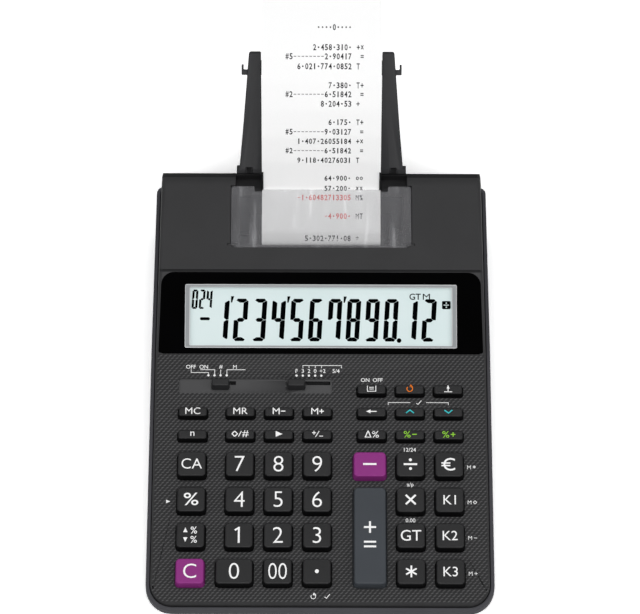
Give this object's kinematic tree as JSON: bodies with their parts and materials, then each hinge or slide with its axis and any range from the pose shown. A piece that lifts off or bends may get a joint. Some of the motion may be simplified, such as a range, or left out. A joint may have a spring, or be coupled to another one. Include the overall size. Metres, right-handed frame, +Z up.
{
  "type": "printing calculator",
  "caption": "Desktop printing calculator with sloping keyboard, tilted display, smoked printer cover and a paper roll on two folding arms.",
  "frame": {"origin": "on the table under the middle of the object's box", "axes": "+X to the user's right, +Y from the front edge towards the paper roll, +Z up"},
  "size_m": [0.165, 0.298, 0.13],
  "materials": {
    "case_charcoal": "fine spark-eroded texture",
    "rim_charcoal": "fine spark-eroded texture",
    "key_black": "satin moulded plastic with printed legends",
    "key_magenta": "satin moulded plastic",
    "key_slate": "satin moulded plastic",
    "window_black": "polished, printed from behind",
    "lcd_glass": "pale reflective liquid crystal panel",
    "cover_smoked": "clear smoked plastic",
    "mat_rubber": "silicone rubber",
    "board_green": "solder mask",
    "printer_grey": "moulded",
    "roller_rubber": "ground rubber",
    "drum_grey": "moulded type wheels",
    "arm_black": "satin moulded plastic",
    "paper_white": "thin thermal-white paper, printed in black and red"
  },
  "bodies": {
    "root": {"upper_case": "case_charcoal", "lower_case": "rim_charcoal", "display_window": "window_black", "lcd_module": "lcd_glass", "key_mat": "mat_rubber", "main_board": "board_green", "printer_frame": "printer_grey", "paper_tape": "paper_white"},
    "arm_left": {"paper_arm_left": "arm_black"},
    "arm_right": {"paper_arm_right": "arm_black"},
    "roll": {"paper_roll": "paper_white"},
    "platen": {"platen_roller": "roller_rubber"},
    "drum": {"print_drum": "drum_grey"},
    "cover": {"printer_cover": "cover_smoked"},
    "battery_cover": {"battery_cover": "rim_charcoal"},
    "function_switch": {"function_switch": "key_black"},
    "decimal_switch": {"decimal_switch": "key_black"},
    "key_clear": {"key_clear": "key_magenta"},
    "key_markup": {"key_markup": "key_black"},
    "key_percent": {"key_percent": "key_black"},
    "key_clear_all": {"key_clear_all": "key_black"},
    "key_0": {"key_0": "key_black"},
    "key_00": {"key_00": "key_black"},
    "key_point": {"key_point": "key_black"},
    "key_1": {"key_1": "key_black"},
    "key_2": {"key_2": "key_black"},
    "key_3": {"key_3": "key_black"},
    "key_4": {"key_4": "key_black"},
    "key_5": {"key_5": "key_black"},
    "key_6": {"key_6": "key_black"},
    "key_7": {"key_7": "key_black"},
    "key_8": {"key_8": "key_black"},
    "key_9": {"key_9": "key_black"},
    "key_add_equals": {"key_add_equals": "key_slate"},
    "key_subtract": {"key_subtract": "key_magenta"},
    "key_total": {"key_total": "key_black"},
    "key_grand_total": {"key_grand_total": "key_black"},
    "key_multiply": {"key_multiply": "key_black"},
    "key_divide": {"key_divide": "key_black"},
    "key_memory_3": {"key_memory_3": "key_black"},
    "key_memory_2": {"key_memory_2": "key_black"},
    "key_memory_1": {"key_memory_1": "key_black"},
    "key_euro": {"key_euro": "key_black"},
    "key_item": {"key_item": "key_black"},
    "key_non_add": {"key_non_add": "key_black"},
    "key_shift": {"key_shift": "key_black"},
    "key_sign": {"key_sign": "key_black"},
    "key_delta_percent": {"key_delta_percent": "key_black"},
    "key_tax_minus": {"key_tax_minus": "key_black"},
    "key_tax_plus": {"key_tax_plus": "key_black"},
    "key_time": {"key_time": "key_black"},
    "key_cost": {"key_cost": "key_black"},
    "key_sell": {"key_sell": "key_black"},
    "key_margin": {"key_margin": "key_black"},
    "key_correct": {"key_correct": "key_black"},
    "key_check_up": {"key_check_up": "key_black"},
    "key_check_down": {"key_check_down": "key_black"},
    "key_print": {"key_print": "key_black"},
    "key_reprint": {"key_reprint": "key_black"},
    "key_feed": {"key_feed": "key_black"}
  },
  "joints": [
    {"name": "arm_left_fold", "type": "hinge", "parent": "root", "child": "arm_left", "pos_m": [0, 0.07722, 0.0446], "axis": [-1, 0, 0], "range_deg": [0, 45], "deforming": ["paper_tape"]},
    {"name": "arm_right_fold", "type": "hinge", "parent": "root", "child": "arm_right", "pos_m": [0, 0.07722, 0.0446], "axis": [-1, 0, 0], "range_deg": [0, 45]},
    {"name": "roll_spin", "type": "hinge", "parent": "arm_left", "child": "roll", "pos_m": [0, 0.11902, 0.0771], "axis": [1, 0, 0], "continuous": true},
    {"name": "cover_hinge", "type": "hinge", "parent": "root", "child": "cover", "pos_m": [0, 0.02921, 0.05534], "axis": [1, 0, 0], "range_deg": [0, 75]},
    {"name": "battery_cover_slide", "type": "slide", "parent": "root", "child": "battery_cover", "axis": [0, 1, 0], "range_m": [0, 0.056]},
    {"name": "function_slide", "type": "slide", "parent": "root", "child": "function_switch", "axis": [1, 0, 0], "range_m": [-0.006, 0.003]},
    {"name": "decimal_slide", "type": "slide", "parent": "root", "child": "decimal_switch", "axis": [1, 0, 0], "range_m": [0, 0.012]},
    {"name": "platen_spin", "type": "hinge", "parent": "root", "child": "platen", "pos_m": [0, 0.03899, 0.04204], "axis": [1, 0, 0], "continuous": true},
    {"name": "drum_spin", "type": "hinge", "parent": "root", "child": "drum", "pos_m": [0, 0.02489, 0.04204], "axis": [1, 0, 0], "continuous": true},
    {"name": "key_clear_press", "type": "slide", "parent": "root", "child": "key_clear", "axis": [0, 0.1392, -0.9903], "range_m": [0, 0.0025], "stiffness_N_per_m": 200, "springref_m": -0.0015},
    {"name": "key_markup_press", "type": "slide", "parent": "root", "child": "key_markup", "axis": [0, 0.1392, -0.9903], "range_m": [0, 0.0025], "stiffness_N_per_m": 200, "springref_m": -0.0015},
    {"name": "key_percent_press", "type": "slide", "parent": "root", "child": "key_percent", "axis": [0, 0.1392, -0.9903], "range_m": [0, 0.0025], "stiffness_N_per_m": 200, "springref_m": -0.0015},
    {"name": "key_clear_all_press", "type": "slide", "parent": "root", "child": "key_clear_all", "axis": [0, 0.1392, -0.9903], "range_m": [0, 0.0025], "stiffness_N_per_m": 200, "springref_m": -0.0015},
    {"name": "key_0_press", "type": "slide", "parent": "root", "child": "key_0", "axis": [0, 0.1392, -0.9903], "range_m": [0, 0.0025], "stiffness_N_per_m": 200, "springref_m": -0.0015},
    {"name": "key_00_press", "type": "slide", "parent": "root", "child": "key_00", "axis": [0, 0.1392, -0.9903], "range_m": [0, 0.0025], "stiffness_N_per_m": 200, "springref_m": -0.0015},
    {"name": "key_point_press", "type": "slide", "parent": "root", "child": "key_point", "axis": [0, 0.1392, -0.9903], "range_m": [0, 0.0025], "stiffness_N_per_m": 200, "springref_m": -0.0015},
    {"name": "key_1_press", "type": "slide", "parent": "root", "child": "key_1", "axis": [0, 0.1392, -0.9903], "range_m": [0, 0.0025], "stiffness_N_per_m": 200, "springref_m": -0.0015},
    {"name": "key_2_press", "type": "slide", "parent": "root", "child": "key_2", "axis": [0, 0.1392, -0.9903], "range_m": [0, 0.0025], "stiffness_N_per_m": 200, "springref_m": -0.0015},
    {"name": "key_3_press", "type": "slide", "parent": "root", "child": "key_3", "axis": [0, 0.1392, -0.9903], "range_m": [0, 0.0025], "stiffness_N_per_m": 200, "springref_m": -0.0015},
    {"name": "key_4_press", "type": "slide", "parent": "root", "child": "key_4", "axis": [0, 0.1392, -0.9903], "range_m": [0, 0.0025], "stiffness_N_per_m": 200, "springref_m": -0.0015},
    {"name": "key_5_press", "type": "slide", "parent": "root", "child": "key_5", "axis": [0, 0.1392, -0.9903], "range_m": [0, 0.0025], "stiffness_N_per_m": 200, "springref_m": -0.0015},
    {"name": "key_6_press", "type": "slide", "parent": "root", "child": "key_6", "axis": [0, 0.1392, -0.9903], "range_m": [0, 0.0025], "stiffness_N_per_m": 200, "springref_m": -0.0015},
    {"name": "key_7_press", "type": "slide", "parent": "root", "child": "key_7", "axis": [0, 0.1392, -0.9903], "range_m": [0, 0.0025], "stiffness_N_per_m": 200, "springref_m": -0.0015},
    {"name": "key_8_press", "type": "slide", "parent": "root", "child": "key_8", "axis": [0, 0.1392, -0.9903], "range_m": [0, 0.0025], "stiffness_N_per_m": 200, "springref_m": -0.0015},
    {"name": "key_9_press", "type": "slide", "parent": "root", "child": "key_9", "axis": [0, 0.1392, -0.9903], "range_m": [0, 0.0025], "stiffness_N_per_m": 200, "springref_m": -0.0015},
    {"name": "key_add_equals_press", "type": "slide", "parent": "root", "child": "key_add_equals", "axis": [0, 0.1392, -0.9903], "range_m": [0, 0.0025], "stiffness_N_per_m": 200, "springref_m": -0.0015},
    {"name": "key_subtract_press", "type": "slide", "parent": "root", "child": "key_subtract", "axis": [0, 0.1392, -0.9903], "range_m": [0, 0.0025], "stiffness_N_per_m": 200, "springref_m": -0.0015},
    {"name": "key_total_press", "type": "slide", "parent": "root", "child": "key_total", "axis": [0, 0.1392, -0.9903], "range_m": [0, 0.0025], "stiffness_N_per_m": 200, "springref_m": -0.0015},
    {"name": "key_grand_total_press", "type": "slide", "parent": "root", "child": "key_grand_total", "axis": [0, 0.1392, -0.9903], "range_m": [0, 0.0025], "stiffness_N_per_m": 200, "springref_m": -0.0015},
    {"name": "key_multiply_press", "type": "slide", "parent": "root", "child": "key_multiply", "axis": [0, 0.1392, -0.9903], "range_m": [0, 0.0025], "stiffness_N_per_m": 200, "springref_m": -0.0015},
    {"name": "key_divide_press", "type": "slide", "parent": "root", "child": "key_divide", "axis": [0, 0.1392, -0.9903], "range_m": [0, 0.0025], "stiffness_N_per_m": 200, "springref_m": -0.0015},
    {"name": "key_memory_3_press", "type": "slide", "parent": "root", "child": "key_memory_3", "axis": [0, 0.1392, -0.9903], "range_m": [0, 0.0025], "stiffness_N_per_m": 200, "springref_m": -0.0015},
    {"name": "key_memory_2_press", "type": "slide", "parent": "root", "child": "key_memory_2", "axis": [0, 0.1392, -0.9903], "range_m": [0, 0.0025], "stiffness_N_per_m": 200, "springref_m": -0.0015},
    {"name": "key_memory_1_press", "type": "slide", "parent": "root", "child": "key_memory_1", "axis": [0, 0.1392, -0.9903], "range_m": [0, 0.0025], "stiffness_N_per_m": 200, "springref_m": -0.0015},
    {"name": "key_euro_press", "type": "slide", "parent": "root", "child": "key_euro", "axis": [0, 0.1392, -0.9903], "range_m": [0, 0.0025], "stiffness_N_per_m": 200, "springref_m": -0.0015},
    {"name": "key_item_press", "type": "slide", "parent": "root", "child": "key_item", "axis": [0, 0.1392, -0.9903], "range_m": [0, 0.0025], "stiffness_N_per_m": 200, "springref_m": -0.0015},
    {"name": "key_non_add_press", "type": "slide", "parent": "root", "child": "key_non_add", "axis": [0, 0.1392, -0.9903], "range_m": [0, 0.0025], "stiffness_N_per_m": 200, "springref_m": -0.0015},
    {"name": "key_shift_press", "type": "slide", "parent": "root", "child": "key_shift", "axis": [0, 0.1392, -0.9903], "range_m": [0, 0.0025], "stiffness_N_per_m": 200, "springref_m": -0.0015},
    {"name": "key_sign_press", "type": "slide", "parent": "root", "child": "key_sign", "axis": [0, 0.1392, -0.9903], "range_m": [0, 0.0025], "stiffness_N_per_m": 200, "springref_m": -0.0015},
    {"name": "key_delta_percent_press", "type": "slide", "parent": "root", "child": "key_delta_percent", "axis": [0, 0.1392, -0.9903], "range_m": [0, 0.0025], "stiffness_N_per_m": 200, "springref_m": -0.0015},
    {"name": "key_tax_minus_press", "type": "slide", "parent": "root", "child": "key_tax_minus", "axis": [0, 0.1392, -0.9903], "range_m": [0, 0.0025], "stiffness_N_per_m": 200, "springref_m": -0.0015},
    {"name": "key_tax_plus_press", "type": "slide", "parent": "root", "child": "key_tax_plus", "axis": [0, 0.1392, -0.9903], "range_m": [0, 0.0025], "stiffness_N_per_m": 200, "springref_m": -0.0015},
    {"name": "key_time_press", "type": "slide", "parent": "root", "child": "key_time", "axis": [0, 0.1392, -0.9903], "range_m": [0, 0.0025], "stiffness_N_per_m": 200, "springref_m": -0.0015},
    {"name": "key_cost_press", "type": "slide", "parent": "root", "child": "key_cost", "axis": [0, 0.1392, -0.9903], "range_m": [0, 0.0025], "stiffness_N_per_m": 200, "springref_m": -0.0015},
    {"name": "key_sell_press", "type": "slide", "parent": "root", "child": "key_sell", "axis": [0, 0.1392, -0.9903], "range_m": [0, 0.0025], "stiffness_N_per_m": 200, "springref_m": -0.0015},
    {"name": "key_margin_press", "type": "slide", "parent": "root", "child": "key_margin", "axis": [0, 0.1392, -0.9903], "range_m": [0, 0.0025], "stiffness_N_per_m": 200, "springref_m": -0.0015},
    {"name": "key_correct_press", "type": "slide", "parent": "root", "child": "key_correct", "axis": [0, 0.1392, -0.9903], "range_m": [0, 0.0025], "stiffness_N_per_m": 200, "springref_m": -0.0015},
    {"name": "key_check_up_press", "type": "slide", "parent": "root", "child": "key_check_up", "axis": [0, 0.1392, -0.9903], "range_m": [0, 0.0025], "stiffness_N_per_m": 200, "springref_m": -0.0015},
    {"name": "key_check_down_press", "type": "slide", "parent": "root", "child": "key_check_down", "axis": [0, 0.1392, -0.9903], "range_m": [0, 0.0025], "stiffness_N_per_m": 200, "springref_m": -0.0015},
    {"name": "key_print_press", "type": "slide", "parent": "root", "child": "key_print", "axis": [0, 0.1392, -0.9903], "range_m": [0, 0.0025], "stiffness_N_per_m": 200, "springref_m": -0.0015},
    {"name": "key_reprint_press", "type": "slide", "parent": "root", "child": "key_reprint", "axis": [0, 0.1392, -0.9903], "range_m": [0, 0.0025], "stiffness_N_per_m": 200, "springref_m": -0.0015},
    {"name": "key_feed_press", "type": "slide", "parent": "root", "child": "key_feed", "axis": [0, 0.1392, -0.9903], "range_m": [0, 0.0025], "stiffness_N_per_m": 200, "springref_m": -0.0015}
  ],
  "couplings": [
    {"joint": "arm_right_fold", "follows": "arm_left_fold", "ratio": 1},
    {"joint": "platen_spin", "follows": "roll_spin", "ratio": 4.6154}
  ]
}
